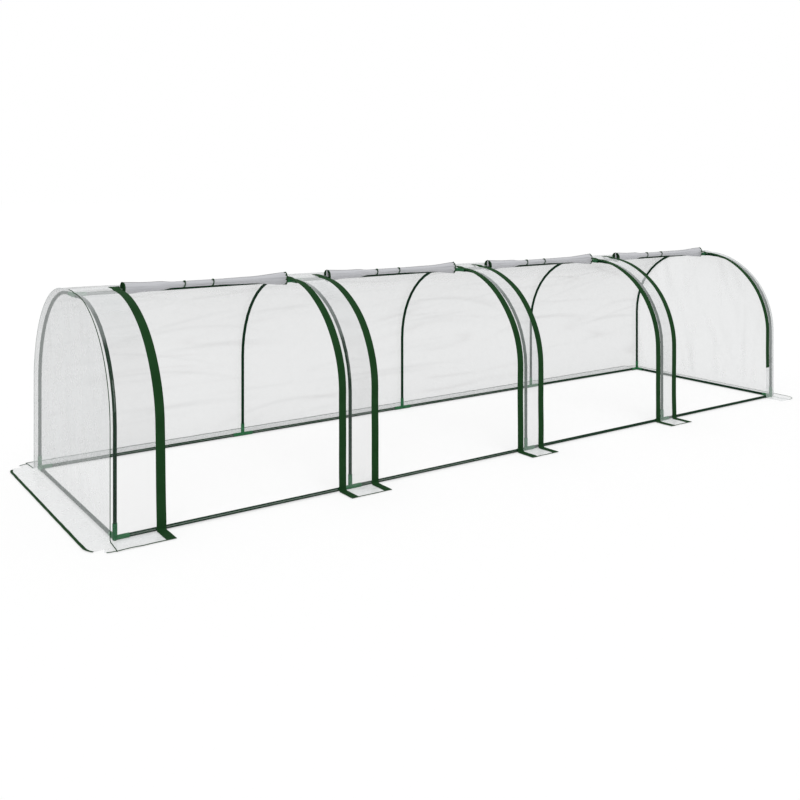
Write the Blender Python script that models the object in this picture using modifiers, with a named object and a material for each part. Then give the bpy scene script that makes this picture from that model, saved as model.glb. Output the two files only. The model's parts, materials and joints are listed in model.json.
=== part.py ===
"""Tunnel greenhouse: an arched tube frame, a clear film cover and four roll-up doors.

Metres. X runs along the tunnel, and the doors are on its -Y side, so -X is the left end seen from the doors.
Z is up, and the origin is on the ground under the middle of the tunnel.
"""

import math

import bmesh
import bpy
from mathutils import Euler

# Frame
TUBE_R = 0.007
TUBE_WALL = 0.0006
TUBE_BEVEL = 3
BAYS = 4
BAY_LENGTH = 0.950
LEG_Y = 0.492
BEND_R = 0.410
BEND_Z = 0.385
BEND_STEPS = 12

# Connectors
SOCKET_WALL = 0.0012
SOCKET_LENGTH = 0.050
HUB_WALL = 0.0035
HUB_CORNER = 0.0025
CUT_PAST = 0.004
SOCKET_SIDES = 12

# Clearances
GAP = 0.0003
BORE_CLEARANCE = 0.0003
WELD = 0.00001

# Cover
FILM = 0.0010
TAPE = 0.0010
SEAM_Y = -0.004
FRONT_SKIRT = 0.0982
END_SKIRT = 0.1097
SKIRT_CORNER_R = 0.098
SKIRT_CORNER_STEPS = 6
TAPE_WIDTH = 0.030
STRIP_LEFT = 0.058
STRIP_RIGHT = (0.180, 0.130, 0.102, 0.102)
HEM_WIDTH = 0.006
SHORT_TAPE_END_Z = 0.190

# Doors
ROLL_R = 0.0145
ROLL_WAIST_R = 0.0115
ROLL_Y = -0.028
ROLL_FROM_LEFT = 0.190
ROLL_FROM_RIGHT = 0.020
ROLL_END = 0.060
TIE_LEFT = 0.453
TIE_RIGHT = 0.582
ROLL_STEPS = 16
DOOR_FILM_RIGHT = 0.0615
DOOR_SEAM = 0.004

# Places that follow
FLAT_Y = LEG_Y - BEND_R
RIDGE_Z = BEND_Z + BEND_R
BORE_R = TUBE_R + BORE_CLEARANCE
CONNECTOR_R = BORE_R + SOCKET_WALL
HUB_HALF = CONNECTOR_R + HUB_WALL
HUB_BACK = CONNECTOR_R - HUB_CORNER
RAIL_Z = CONNECTOR_R
HALF_LENGTH = BAYS * BAY_LENGTH / 2
TUBE_START = HUB_HALF + GAP
FILM_IN = CONNECTOR_R + GAP
FILM_OUT = FILM_IN + FILM
TAPE_IN = FILM_OUT + GAP
TAPE_OUT = TAPE_IN + TAPE
TAPE_FLOOR = FILM + GAP
SHEET_END = HALF_LENGTH + CONNECTOR_R
PANEL_X = HALF_LENGTH + FILM_IN
FRONT_EDGE = LEG_Y + FILM_OUT + FRONT_SKIRT
END_EDGE = PANEL_X + END_SKIRT
ROLL_Z = RIDGE_Z + TAPE_OUT + GAP + ROLL_R
DOOR_FILM_Z = RIDGE_Z + TAPE_IN
HOOP_X = [index * BAY_LENGTH - HALF_LENGTH for index in range(BAYS + 1)]

# Turns an outline drawn as (y, z) in its own XY plane upright, so that its depth runs along X
UPRIGHT_ALONG_X = Euler((math.pi / 2, 0.0, math.pi / 2)).to_matrix().to_4x4()

# Shading
SHARP_ANGLE = math.radians(40.0)

# Colours, as seen in the photo
FILM_COLOUR = (0.83, 0.85, 0.85)
TAPE_COLOUR = (0.020, 0.055, 0.022)
TUBE_COLOUR = (0.014, 0.045, 0.018)
CONNECTOR_COLOUR = (0.028, 0.150, 0.055)
ROLL_COLOUR = (0.62, 0.64, 0.64)
FILM_ALPHA = 0.35


def clear_scene():
    for obj in list(bpy.data.objects):
        bpy.data.objects.remove(obj, do_unlink=True)


def make_material(name, colour, roughness, metallic, alpha=1.0):
    material = bpy.data.materials.new(name)
    material.use_nodes = True
    shader = material.node_tree.nodes["Principled BSDF"]
    shader.inputs["Base Color"].default_value = (*colour, 1.0)
    shader.inputs["Roughness"].default_value = roughness
    shader.inputs["Metallic"].default_value = metallic
    shader.inputs["Alpha"].default_value = alpha
    material.diffuse_color = (*colour, alpha)
    return material


def place(name, mesh, material, location=(0.0, 0.0, 0.0), turn=0.0):
    """A node of the part, turned about Z and then moved."""
    obj = bpy.data.objects.new(name, mesh)
    obj.location = location
    obj.rotation_euler = (0.0, 0.0, turn)
    if not mesh.materials:
        mesh.materials.append(material)
    PART.objects.link(obj)
    return obj


def thicken(obj, thickness, offset):
    solidify = obj.modifiers.new("thickness", "SOLIDIFY")
    solidify.thickness = thickness
    solidify.offset = offset
    solidify.use_even_offset = True


def tube(name, points, location):
    """A hollow tube along the points, open at both ends."""
    curve = bpy.data.curves.new(name + "_path", "CURVE")
    curve.dimensions = "3D"
    curve.bevel_depth = TUBE_R
    curve.bevel_resolution = TUBE_BEVEL
    curve.use_fill_caps = False
    spline = curve.splines.new("POLY")
    spline.points.add(len(points) - 1)
    for target, point in zip(spline.points, points):
        target.co = (*point, 1.0)
    path = bpy.data.objects.new(name + "_path", curve)
    mesh = bpy.data.meshes.new_from_object(path)
    mesh.name = name
    mesh.shade_smooth()
    bpy.data.objects.remove(path, do_unlink=True)
    obj = place(name, mesh, TUBE_MATERIAL, location)
    thicken(obj, TUBE_WALL, -1.0)
    return obj


def arc_points(radius, side):
    """(y, z) points of a bend about its own centre, from the top down to the leg."""
    points = []
    for step in range(BEND_STEPS + 1):
        angle = math.pi / 2 * step / BEND_STEPS
        y = side * (FLAT_Y + radius * math.sin(angle))
        z = BEND_Z + radius * math.cos(angle)
        points.append((y, z))
    return points


def half_hoop(name, x, side):
    top = (0.0, side * TUBE_START, RIDGE_Z)
    bend = [(0.0, y, z) for y, z in arc_points(BEND_R, side)]
    foot = (0.0, side * LEG_Y, RAIL_Z + TUBE_START)
    tube(name, [top, *bend, foot], (x, 0.0, 0.0))


def tube_along_x(name, x_low, y, z):
    """A tube between the hubs of two neighbouring arches."""
    reach = BAY_LENGTH / 2 - TUBE_START
    tube(name, [(-reach, 0.0, 0.0), (reach, 0.0, 0.0)], (x_low + BAY_LENGTH / 2, y, z))


def cylinder(name, radius, direction, start, end):
    """A helper cylinder about the origin, from start to end along the direction.

    It is turned by swapping its points' coordinates, so sockets that cross share exact values.
    """
    form = bmesh.new()
    bmesh.ops.create_cone(
        form,
        cap_ends=True,
        segments=SOCKET_SIDES,
        radius1=radius,
        radius2=radius,
        depth=end - start,
    )
    middle = (start + end) / 2
    if direction[0] == "-":
        middle = -middle
    for corner in form.verts:
        first, second, along = corner.co
        along += middle
        turned = {"X": (along, first, second), "Y": (second, along, first), "Z": (first, second, along)}
        corner.co = turned[direction[-1]]
    mesh = bpy.data.meshes.new(name)
    form.to_mesh(mesh)
    form.free()
    obj = bpy.data.objects.new(name, mesh)
    obj.hide_render = True
    obj.display_type = "WIRE"
    HELPERS.objects.link(obj)
    return obj


def connector_mesh(name, through, stubs):
    """The solid of one connector: sockets that run both ways, and sockets that run one way."""
    outer = []
    bores = []
    for axis in through:
        outer.append(cylinder(name + "_out", CONNECTOR_R, axis, -SOCKET_LENGTH, SOCKET_LENGTH))
        for sign in "-+":
            bores.append(sign + axis)
    for direction in stubs:
        outer.append(cylinder(name + "_out", CONNECTOR_R, direction, -HUB_BACK, SOCKET_LENGTH))
        bores.append(direction)
    body = outer[0]
    for other in outer[1:]:
        join = body.modifiers.new("join", "BOOLEAN")
        join.operation = "UNION"
        join.solver = "EXACT"
        join.object = other
    for direction in bores:
        cutter = cylinder(name + "_bore", BORE_R, direction, HUB_HALF, SOCKET_LENGTH + CUT_PAST)
        cut = body.modifiers.new("bore", "BOOLEAN")
        cut.operation = "DIFFERENCE"
        cut.solver = "EXACT"
        cut.object = cutter
    bpy.context.view_layer.update()
    graph = bpy.context.evaluated_depsgraph_get()
    mesh = bpy.data.meshes.new_from_object(body.evaluated_get(graph))
    mesh.name = name
    mesh.shade_smooth()
    mesh.set_sharp_from_angle(angle=SHARP_ANGLE)
    for helper in list(HELPERS.objects):
        bpy.data.objects.remove(helper, do_unlink=True)
    return mesh


def arch_profile(offset, side, top_y, floor, edge):
    """(y, z) points of a sheet that lies outside the tubes, from the ridge down to the ground and out."""
    points = [(top_y, RIDGE_Z + offset)]
    points.extend(arc_points(BEND_R + offset, side))
    points.append((side * (LEG_Y + offset), floor))
    points.append((side * edge, floor))
    return points


def outline_mesh(name, points, filled, half_depth):
    """The mesh of an outline in its own XY plane, extruded both ways along its own Z."""
    curve = bpy.data.curves.new(name + "_outline", "CURVE")
    curve.dimensions = "2D"
    curve.fill_mode = "BOTH" if filled else "NONE"
    curve.extrude = half_depth
    spline = curve.splines.new("POLY")
    spline.points.add(len(points) - 1)
    for target, point in zip(spline.points, points):
        target.co = (*point, 0.0, 1.0)
    spline.use_cyclic_u = filled
    outline = bpy.data.objects.new(name + "_outline", curve)
    mesh = bpy.data.meshes.new_from_object(outline)
    mesh.name = name
    bpy.data.objects.remove(outline, do_unlink=True)
    form = bmesh.new()
    form.from_mesh(mesh)
    bmesh.ops.remove_doubles(form, verts=form.verts, dist=WELD)
    form.to_mesh(mesh)
    form.free()
    return mesh


def sheet_along_x(name, profile, x_low, x_high, thickness, material):
    """A sheet with one (y, z) profile all along X, with its thickness on the outer side."""
    mesh = outline_mesh(name, profile, False, (x_high - x_low) / 2)
    mesh.transform(UPRIGHT_ALONG_X)
    top = max(mesh.polygons, key=lambda face: face.center.z)
    if top.normal.z < 0.0:
        mesh.flip_normals()
    mesh.shade_smooth()
    mesh.set_sharp_from_angle(angle=SHARP_ANGLE)
    obj = place(name, mesh, material, ((x_low + x_high) / 2, 0.0, 0.0))
    thicken(obj, thickness, 1.0)
    return obj


def skirt_outline():
    """(x, y) points of an end skirt, from the end panel outward, with rounded outer corners."""
    reach = END_EDGE - PANEL_X
    centre_x = reach - SKIRT_CORNER_R
    centre_y = FRONT_EDGE - SKIRT_CORNER_R
    points = [(FILM / 2, -FRONT_EDGE)]
    for side in (-1, 1):
        for step in range(SKIRT_CORNER_STEPS + 1):
            turn = step if side < 0 else SKIRT_CORNER_STEPS - step
            angle = math.pi / 2 * turn / SKIRT_CORNER_STEPS
            x = centre_x + SKIRT_CORNER_R * math.sin(angle)
            y = centre_y + SKIRT_CORNER_R * math.cos(angle)
            points.append((x, side * y))
    points.append((FILM / 2, FRONT_EDGE))
    return points


def end_panel(name, side):
    """The flat end of the cover and its skirt on the ground, as one solid. Side is 1 at +X."""
    front = arc_points(BEND_R + FILM_OUT, -1)
    upright = [(-(LEG_Y + FILM_OUT), FILM / 2), *reversed(front)]
    upright.extend((-y, z) for y, z in reversed(upright))
    panel = outline_mesh(name, upright, True, FILM / 2)
    panel.transform(UPRIGHT_ALONG_X)
    obj = place(name, panel, FILM_MATERIAL, (side * (PANEL_X + FILM / 2), 0.0, 0.0))
    skirt_mesh = outline_mesh(name + "_skirt", skirt_outline(), True, FILM / 2)
    skirt = bpy.data.objects.new(name + "_skirt", skirt_mesh)
    skirt.location = (side * PANEL_X, 0.0, FILM / 2)
    skirt.rotation_euler = (0.0, 0.0, 0.0 if side > 0 else math.pi)
    skirt.hide_render = True
    skirt.display_type = "WIRE"
    HELPERS.objects.link(skirt)
    join = obj.modifiers.new("join", "BOOLEAN")
    join.operation = "UNION"
    join.solver = "EXACT"
    join.object = skirt
    return obj


def tape(name, x_low, x_high, last=None):
    """One tape down the front of the arch and out over the skirt, or only down to the height of last."""
    profile = arch_profile(TAPE_IN, -1, SEAM_Y - GAP, TAPE_FLOOR, FRONT_EDGE)
    if last is not None:
        profile = profile[:-2]
        profile.append((-(LEG_Y + TAPE_IN), last))
    return sheet_along_x(name, profile, x_low, x_high, TAPE, TAPE_MATERIAL)


def join_along_hem(body, others, x_low, x_high):
    """Makes one solid of a strip's tapes and the hem that joins them at the skirt's edge."""
    mesh = bpy.data.meshes.new("hem")
    form = bmesh.new()
    bmesh.ops.create_cube(form, size=1.0)
    form.to_mesh(mesh)
    form.free()
    hem = bpy.data.objects.new("hem", mesh)
    hem.scale = (x_high - x_low, HEM_WIDTH, TAPE)
    hem.location = ((x_low + x_high) / 2, HEM_WIDTH / 2 - FRONT_EDGE, TAPE_FLOOR + TAPE / 2)
    HELPERS.objects.link(hem)
    for other in [*others, hem]:
        other.hide_render = True
        other.display_type = "WIRE"
        join = body.modifiers.new("join", "BOOLEAN")
        join.operation = "UNION"
        join.solver = "EXACT"
        join.object = other
        if other.name in PART.objects:
            PART.objects.unlink(other)
            HELPERS.objects.link(other)


def door_roll(name, x_low, x_high):
    """A door rolled up, drawn in by its two ties, turned about its own long axis."""
    length = x_high - x_low
    base = x_low - ROLL_FROM_LEFT
    waist_low = base + TIE_LEFT - x_low
    waist_high = base + TIE_RIGHT - x_low
    outline = [
        (0.0, 0.0),
        (0.0, ROLL_R),
        (ROLL_END, ROLL_R),
        (waist_low, ROLL_WAIST_R),
        (waist_high, ROLL_WAIST_R),
        (length - ROLL_END, ROLL_R),
        (length, ROLL_R),
        (length, 0.0),
    ]
    form = bmesh.new()
    line = [form.verts.new((radius, 0.0, length - along)) for along, radius in outline]
    for pair in zip(line, line[1:]):
        form.edges.new(pair)
    mesh = bpy.data.meshes.new(name)
    form.to_mesh(mesh)
    form.free()
    mesh.shade_smooth()
    obj = place(name, mesh, ROLL_MATERIAL, (x_low, ROLL_Y, ROLL_Z))
    obj.rotation_euler = (0.0, math.pi / 2, 0.0)
    turned = obj.modifiers.new("turned", "SCREW")
    turned.steps = ROLL_STEPS
    turned.render_steps = ROLL_STEPS
    turned.use_merge_vertices = True
    turned.merge_threshold = WELD
    return obj


clear_scene()
PART = bpy.data.collections.new("tunnel_greenhouse")
HELPERS = bpy.data.collections.new("helpers")
bpy.context.scene.collection.children.link(PART)
bpy.context.scene.collection.children.link(HELPERS)
FILM_MATERIAL = make_material("film", FILM_COLOUR, 0.25, 0.0, FILM_ALPHA)
TAPE_MATERIAL = make_material("tape", TAPE_COLOUR, 0.6, 0.0)
TUBE_MATERIAL = make_material("tube", TUBE_COLOUR, 0.35, 0.0)
CONNECTOR_MATERIAL = make_material("connector", CONNECTOR_COLOUR, 0.45, 0.0)
ROLL_MATERIAL = make_material("rolled_film", ROLL_COLOUR, 0.35, 0.0)

# Arches, ridge and rails
for index, x in enumerate(HOOP_X, start=1):
    half_hoop(f"hoop_{index}_front", x, -1)
    half_hoop(f"hoop_{index}_back", x, 1)
for index, x in enumerate(HOOP_X[:-1], start=1):
    tube_along_x(f"ridge_tube_{index}", x, 0.0, RIDGE_Z)
    tube_along_x(f"base_rail_front_{index}", x, -LEG_Y, RAIL_Z)
    tube_along_x(f"base_rail_back_{index}", x, LEG_Y, RAIL_Z)
for name, x in (("end_rail_left", HOOP_X[0]), ("end_rail_right", HOOP_X[-1])):
    reach = LEG_Y - TUBE_START
    tube(name, [(0.0, -reach, 0.0), (0.0, reach, 0.0)], (x, 0.0, RAIL_Z))

# Connectors
cross_mesh = connector_mesh("apex_cross", "XY", [])
apex_end_mesh = connector_mesh("apex_tee", "Y", ["+X"])
corner_mesh = connector_mesh("base_corner", "", ["+X", "+Y", "+Z"])
foot_mesh = connector_mesh("base_tee", "X", ["+Z"])
last = len(HOOP_X)
for index, x in enumerate(HOOP_X, start=1):
    at_end = index in (1, last)
    turn = math.pi if index == last else 0.0
    apex_mesh = apex_end_mesh if at_end else cross_mesh
    place(f"apex_connector_{index}", apex_mesh, CONNECTOR_MATERIAL, (x, 0.0, RIDGE_Z), turn)
    base_mesh = corner_mesh if at_end else foot_mesh
    front_turn = math.pi / 2 if index == last else 0.0
    back_turn = math.pi if index == last else -math.pi / 2
    if not at_end:
        back_turn = 0.0
    front_at = (x, -LEG_Y, RAIL_Z)
    back_at = (x, LEG_Y, RAIL_Z)
    place(f"base_connector_front_{index}", base_mesh, CONNECTOR_MATERIAL, front_at, front_turn)
    place(f"base_connector_back_{index}", base_mesh, CONNECTOR_MATERIAL, back_at, back_turn)

# Cover
back = arch_profile(FILM_IN, 1, SEAM_Y, 0.0, FRONT_EDGE)
sheet_along_x("cover_back", back, -SHEET_END, SHEET_END, FILM, FILM_MATERIAL)
end_panel("cover_end_left", -1)
end_panel("cover_end_right", 1)
front = arch_profile(FILM_IN, -1, SEAM_Y - GAP, 0.0, FRONT_EDGE)
for index, x in enumerate(HOOP_X, start=1):
    low = -SHEET_END if index == 1 else x - STRIP_LEFT
    high = SHEET_END if index == last else x + STRIP_RIGHT[index - 1]
    sheet_along_x(f"cover_strip_{index}", front, low, high, FILM, FILM_MATERIAL)
    if index == last:
        tape(f"binding_{index}", low, low + TAPE_WIDTH, SHORT_TAPE_END_Z)
        continue
    body = tape(f"binding_{index}", high - TAPE_WIDTH, high)
    others = []
    if index > 1:
        others.append(tape(f"binding_{index}_left", low, low + TAPE_WIDTH))
    join_along_hem(body, others, low, high)

# Doors
for index, x in enumerate(HOOP_X[:-1], start=1):
    low = x + ROLL_FROM_LEFT
    door_roll(f"door_{index}_roll", low, x + BAY_LENGTH - ROLL_FROM_RIGHT)
    level = [(DOOR_SEAM, DOOR_FILM_Z), (ROLL_Y, DOOR_FILM_Z)]
    right = x + BAY_LENGTH - DOOR_FILM_RIGHT
    sheet_along_x(f"door_{index}_film", level, low, right, FILM, FILM_MATERIAL)
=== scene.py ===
import json
import math

import bpy
import numpy as np
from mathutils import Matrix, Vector


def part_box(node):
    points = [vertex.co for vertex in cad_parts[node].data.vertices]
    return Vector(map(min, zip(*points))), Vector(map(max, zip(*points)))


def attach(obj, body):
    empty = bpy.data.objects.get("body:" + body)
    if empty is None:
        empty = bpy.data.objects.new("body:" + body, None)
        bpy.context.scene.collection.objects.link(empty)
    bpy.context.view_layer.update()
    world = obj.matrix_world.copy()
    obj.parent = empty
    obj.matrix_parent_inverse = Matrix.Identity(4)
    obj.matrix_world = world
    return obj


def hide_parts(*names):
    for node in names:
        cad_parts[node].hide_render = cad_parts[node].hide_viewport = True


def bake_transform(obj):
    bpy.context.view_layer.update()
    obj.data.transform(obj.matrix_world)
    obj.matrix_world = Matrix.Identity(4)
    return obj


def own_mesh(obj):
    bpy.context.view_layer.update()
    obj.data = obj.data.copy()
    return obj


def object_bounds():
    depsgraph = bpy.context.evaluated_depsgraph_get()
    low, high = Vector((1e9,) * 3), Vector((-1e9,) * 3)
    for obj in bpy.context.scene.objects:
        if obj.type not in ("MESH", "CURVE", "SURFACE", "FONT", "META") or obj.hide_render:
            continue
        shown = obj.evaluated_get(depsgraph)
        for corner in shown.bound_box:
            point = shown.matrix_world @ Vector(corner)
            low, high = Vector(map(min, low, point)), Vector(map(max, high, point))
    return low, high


# Looks of the tunnel greenhouse: its clear cover, its bindings, its rolled doors and the finish
# of its frame. In metres, X along the tunnel, the doors on the -Y side, Z up.

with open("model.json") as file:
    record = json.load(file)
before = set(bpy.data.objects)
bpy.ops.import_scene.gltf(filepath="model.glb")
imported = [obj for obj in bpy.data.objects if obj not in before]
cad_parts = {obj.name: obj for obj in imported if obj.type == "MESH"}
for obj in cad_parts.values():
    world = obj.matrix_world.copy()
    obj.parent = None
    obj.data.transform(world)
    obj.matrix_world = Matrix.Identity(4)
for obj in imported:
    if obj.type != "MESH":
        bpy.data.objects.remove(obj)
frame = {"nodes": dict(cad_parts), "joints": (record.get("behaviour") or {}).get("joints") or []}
cad_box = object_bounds()

# Names and places read from the frame
HOOP_COUNT = 5
DOOR_COUNT = HOOP_COUNT - 1
TUBES = ("hoop", "ridge", "base_rail", "end_rail")
STRIP_NAMES = [f"cover_strip_{number}" for number in range(1, HOOP_COUNT + 1)]
STRIPS = [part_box(name) for name in STRIP_NAMES]
HOOPS = [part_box(f"hoop_{number}_front") for number in range(1, HOOP_COUNT + 1)]
HOOP_X = [(low.x + high.x) / 2 for low, high in HOOPS]
RIDGE_LOW, RIDGE_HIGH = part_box("ridge_tube_1")
RIDGE_Z = (RIDGE_LOW.z + RIDGE_HIGH.z) / 2
BEND = Vector(next(j for j in frame["joints"] if j["name"] == "door_1_over_arch")["pos_m"])
BEND_R = RIDGE_Z - BEND.z
FLAT_Y = -BEND.y
LEG_Y = FLAT_Y + BEND_R
FRONT_HEM = cad_box[0].y

# Camera: its focal length, picture size and horizon in pixels, its sensor in millimetres
CAMERA_AT = (-2.9497, -3.6850, 1.2149)
CAMERA_YAW = math.radians(54.903)
FOCAL = 938.6
IMAGE = 800
HORIZON = 185.8
SENSOR = 36.0

# Cover: how far it stands off the tubes' middles, and its edges, folds and seams
FRONT_OFF = 0.0098
TOP_OFF = 0.0180
SHOULDER_OFF = 0.0085
SHOULDER_RISE = 0.0060
NOTCH_OFF = 0.0205
SEAM_OFF = 0.0218
LEFT_OFF = 0.0195
RIGHT_OFF = 0.0110
LEAN = 0.0170
CORNER_LEAN = 0.0085
GROUND = 0.0022
FOLD_R = 0.008
FOLD_Z = GROUND + FOLD_R
FRONT_Y = -(LEG_Y + FRONT_OFF)
BACK_Y = LEG_Y + TOP_OFF
BACK_HEM = 0.6140
SEAM_Y = -0.0100
DOOR_SEAM_Y = 0.0020
NOTCH_Y = -0.0560
LEFT_EDGE = HOOP_X[0] - LEFT_OFF
RIGHT_EDGE = HOOP_X[-1] + RIGHT_OFF
EDGE_REACH = {-1: -LEFT_EDGE, 1: RIGHT_EDGE}
STRIP_LOW = [LEFT_EDGE] + [low.x for low, high in STRIPS[1:]]
STRIP_HIGH = [high.x for low, high in STRIPS[:-1]] + [RIGHT_EDGE]

# Steps between the points of the cover and its trims
ROW_STEP = 0.0075
FOLD_STEP = 0.0025
SAME_POINT = 0.0008
BAY_STEP = 0.0190
STRIP_STEP = 0.0080
HEM_STEP = 0.02
CORNER_STEP = 0.006
TINY = 1e-6

# Heights of the film's sags, creases and ripples, and how far from an edge they fade
SAG = 0.0035
EDGE_SAG = 0.0055
SWELL = 0.0010
CREASE_HEIGHT = 0.0017
END_CREASE_HEIGHT = 0.0006
RIPPLE = 0.0010
FOOT_FADE = 0.10
RIDGE_FADE = 0.15
END_FADE = 0.05
CORNER_FADE = 0.06

# Bindings
TAPE = 0.033
FIRST_TAPE = 0.0355
LAST_TAPE = 0.0290
TAPE_THICK = 0.0014
HEM = 0.0045
END_HEM = 0.0100
SHORT_TAPE_Z = 0.176
ROLL_GAP = 0.003
WELT_R = 0.0015
BACK_HEM_R = 0.0013
THIN_HEM_R = 0.0014
RIGHT_HEM_R = THIN_HEM_R * 0.7
BEAD_RESOLUTION = 3
LEFT_HEM_END = 0.5450

# End walls and their skirts, whose last columns lie just inside their round corners
CORNER_X = 1.9205
CORNER_Y = 0.5030
CORNER_R = 0.0950
SKIRT_END = CORNER_Y + CORNER_R - 0.0004
RIGHT_HEM = 1.9930
NOTCH_FROM = 0.5600
NOTCH_TO = 0.5892
NOTCH_IN = 1.9575
NOTCH_OUT = 1.9673
NOTCH_SIDE = 0.0002
WALL_ROWS = 72
WALL_COLUMNS = 96
FOLD_ROWS = 4
SKIRT_ROWS = 11
SKIRT_STEP = 0.004

# Rolled doors: places along the tunnel, from the hoop on the left or from the next hoop
ROLL_START = (0.183, 0.168, 0.168, 0.168)
ROLL_STOP = (0.045, 0.058, 0.043, 0.034)
TIE_LEFT = 0.443
TIE_RIGHT = 0.569
SHOULDER_FROM, SHOULDER_TO = 0.335, 0.395
MOUTH_TO = 0.300
FLARE_FROM, FLARE_TO = 0.215, 0.055

# Radii of the rolls, and the (y, z) of their middles
WAIST_R = 0.0128
TIE_R = 0.0120
SHOULDER_R = 0.0189
MOUTH_R = 0.0258
FLARE_R = 0.0272
RIGHT_GAIN = 0.0020
UNEVEN = 0.0005
FLARE_FLAT = 0.64
WAIST_CENTRE = np.array((-0.0142, 0.8105))
MOUTH_CENTRE = np.array((-0.0285, 0.8090))
END_RECESS = 0.0200

# The rolls' film: its turns, its hollow middle, its pleats and the steps between its points
TURNS = 15
HOLLOW = 0.12
PLEAT = 0.00024
GATHER = 0.03
PINCH = 0.008
FINE_TURNS = 2.0
FINE_STEPS = 144
COARSE_STEPS = 14
ROLL_STEP = 0.014
OPEN_END_STEP = 0.018
TIE_COLUMNS = (-0.014, -0.007, -0.003, 0.003, 0.007, 0.014)

# Bound ends of the rolls, and the film's inner end in them, with X from the roll's end
LEFT_BOUND_X = np.array((-0.0025, 0.0005, 0.0030))
LEFT_BOUND_THICK = 0.0012
LEFT_BOUND_OUT = 0.0005
RIGHT_BOUND_TURNS = 3
RIGHT_BOUND_FROM, RIGHT_BOUND_TO = 0.0012, 0.0040
RIGHT_BOUND_POINT = 0.0075
RIGHT_BOUND_THICK = 0.0010
RIGHT_BOUND_OUT = 0.0007
CORE_X = np.array((-0.0032, 0.0, 0.012))
CORE_ROWS = 8
CORE_BOW = 0.0012
CORE_THICK = 0.0034

# Film of a closing door, and the (y, z) of its ends in the roll
FALL_HEM = 0.0150
FALL_UNDER = 0.015
FALL_SHORT = 0.004
FALL_STEP = 0.025
FALL_UV = 0.7
FALL_TURN = (-0.0120, 0.8055)
FALL_FOOT = (-0.0170, 0.8050)

# Strings tied round the rolls, and their knots
TIE_STRING_R = 0.0023
TIE_LEAN = 0.0022
TIE_POINTS = 48
KNOT_AT = math.radians(122)
KNOT_OUT = 0.0022
KNOT_R = 0.0034
KNOT_SPREAD = 0.22
KNOT_TURNS = 1.6
KNOT_POINTS = 30

# Light: the sky, a soft key from the front left and a glint from the right, wide in degrees
SKY_LIGHT = 0.76
KEY_LIGHT = 0.95
KEY_TOWARDS = (0.45, 0.50, -1.0)
KEY_WIDTH = 60
GLINT_LIGHT = 8.0
GLINT_TOWARDS = (-0.42, 0.84, -0.30)
GLINT_WIDTH = 30
FLOOR_WHITE = 0.5
FLOOR_TONE = (0.80, 0.80, 0.80, 1.0)
FLOOR_REACH = 60.0
FLOOR_DROP = 0.0006
WHITE = (1.0, 1.0, 1.0, 1.0)

# Film: its tint, how many lines of painted shade its noise draws and how sharp they are, what a
# fold adds to its density, the painted shade a fold gives its tone and how dark painted shade is,
# and the share of its density that doesn't stop light
FILM_TINT = (0.965, 1.0, 1.01)
CREASE_LINES = 6
CREASE_POWER = 4.0
CREASE_DENSITY = 0.05
FOLD_SHADE = 0.35
SHADED_LEVEL = 0.3
CLEAR_TO_LIGHT = 0.85

# Binding tape's stitches and threads
STITCH_AT = 0.0125
STITCH_R = 0.0005
STITCH_LENGTH = 0.004
STITCH_GAP = -0.4
RIB_LENGTH = 0.0016
THREAD_WIDTH = 0.0011

# Each film from face on (0) to edge on (1): how dense it is there, and how pale its milky tone is,
# a painted sheen where that tone changes with the angle
CLEAR_LOOK = (
    (0.0, 0.047, 0.18),
    (0.05, 0.078, 0.23),
    (0.165, 0.112, 0.17),
    (0.22, 0.25, 0.56),
    (0.28, 0.295, 0.575),
    (0.4, 0.33, 0.564),
    (0.46, 0.42, 0.62),
    (0.9, 0.66, 0.70),
)
WALL_LOOK = ((0.0, 0.31, 0.505), (0.5, 0.365, 0.505), (0.8, 0.54, 0.505), (1.0, 0.76, 0.505))
END_LOOK = ((0.0, 0.33, 0.61), (0.5, 0.352, 0.61), (0.8, 0.42, 0.61), (1.0, 0.51, 0.61))
WELD_LOOK = ((0.0, 0.55, 0.62), (0.5, 0.59, 0.62), (1.0, 0.85, 0.62))


def waves(first, second, seed, wavelength, count=20):
    """Smooth seeded noise of about that wavelength, mostly between -1 and 1."""
    rng = np.random.default_rng(seed)
    total = np.zeros(np.broadcast(first, second).shape)
    for _ in range(count):
        angle = rng.uniform(0.0, 2 * math.pi)
        phase = rng.uniform(0.0, 2 * math.pi)
        number = 2 * math.pi / (wavelength * rng.uniform(0.7, 1.5))
        total += np.sin(number * (first * math.cos(angle) + second * math.sin(angle)) + phase)
    return total / math.sqrt(count)


def creases(first, second, seed, area, count, tilt, spread, length, width):
    """Seeded long narrow folds over an area (low, high, low, high), each fading towards its ends."""
    rng = np.random.default_rng(seed)
    total = np.zeros(np.broadcast(first, second).shape)
    for _ in range(count):
        middle_first = rng.uniform(area[0], area[1])
        middle_second = rng.uniform(area[2], area[3])
        angle = tilt + rng.normal(0.0, spread)
        reach = length * rng.uniform(0.5, 1.4)
        narrow = width * rng.uniform(0.7, 1.5)
        bow = -abs(rng.normal(0.25, 0.15))
        height = rng.choice((-1.0, 1.0)) * rng.uniform(0.4, 1.0)
        to_first, to_second = first - middle_first, second - middle_second
        along = to_first * math.cos(angle) + to_second * math.sin(angle)
        across = to_second * math.cos(angle) - to_first * math.sin(angle)
        across += bow * along**2
        total += height * np.exp(-((across / narrow) ** 2) - (along / reach) ** 2)
    return total


def smooth(value, low, high):
    """0 below low, 1 above high, and a smooth step between them."""
    share = np.clip((value - low) / (high - low), 0.0, 1.0)
    return share * share * (3 - 2 * share)


def steps(low, high, step):
    """Even places from low to high, about that step apart."""
    return np.linspace(low, high, max(2, round(abs(high - low) / step) + 1))


def distances(points):
    """How far along a row of points each of them is."""
    return np.concatenate([[0.0], np.cumsum(np.linalg.norm(np.diff(points, axis=0), axis=1))])


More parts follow.
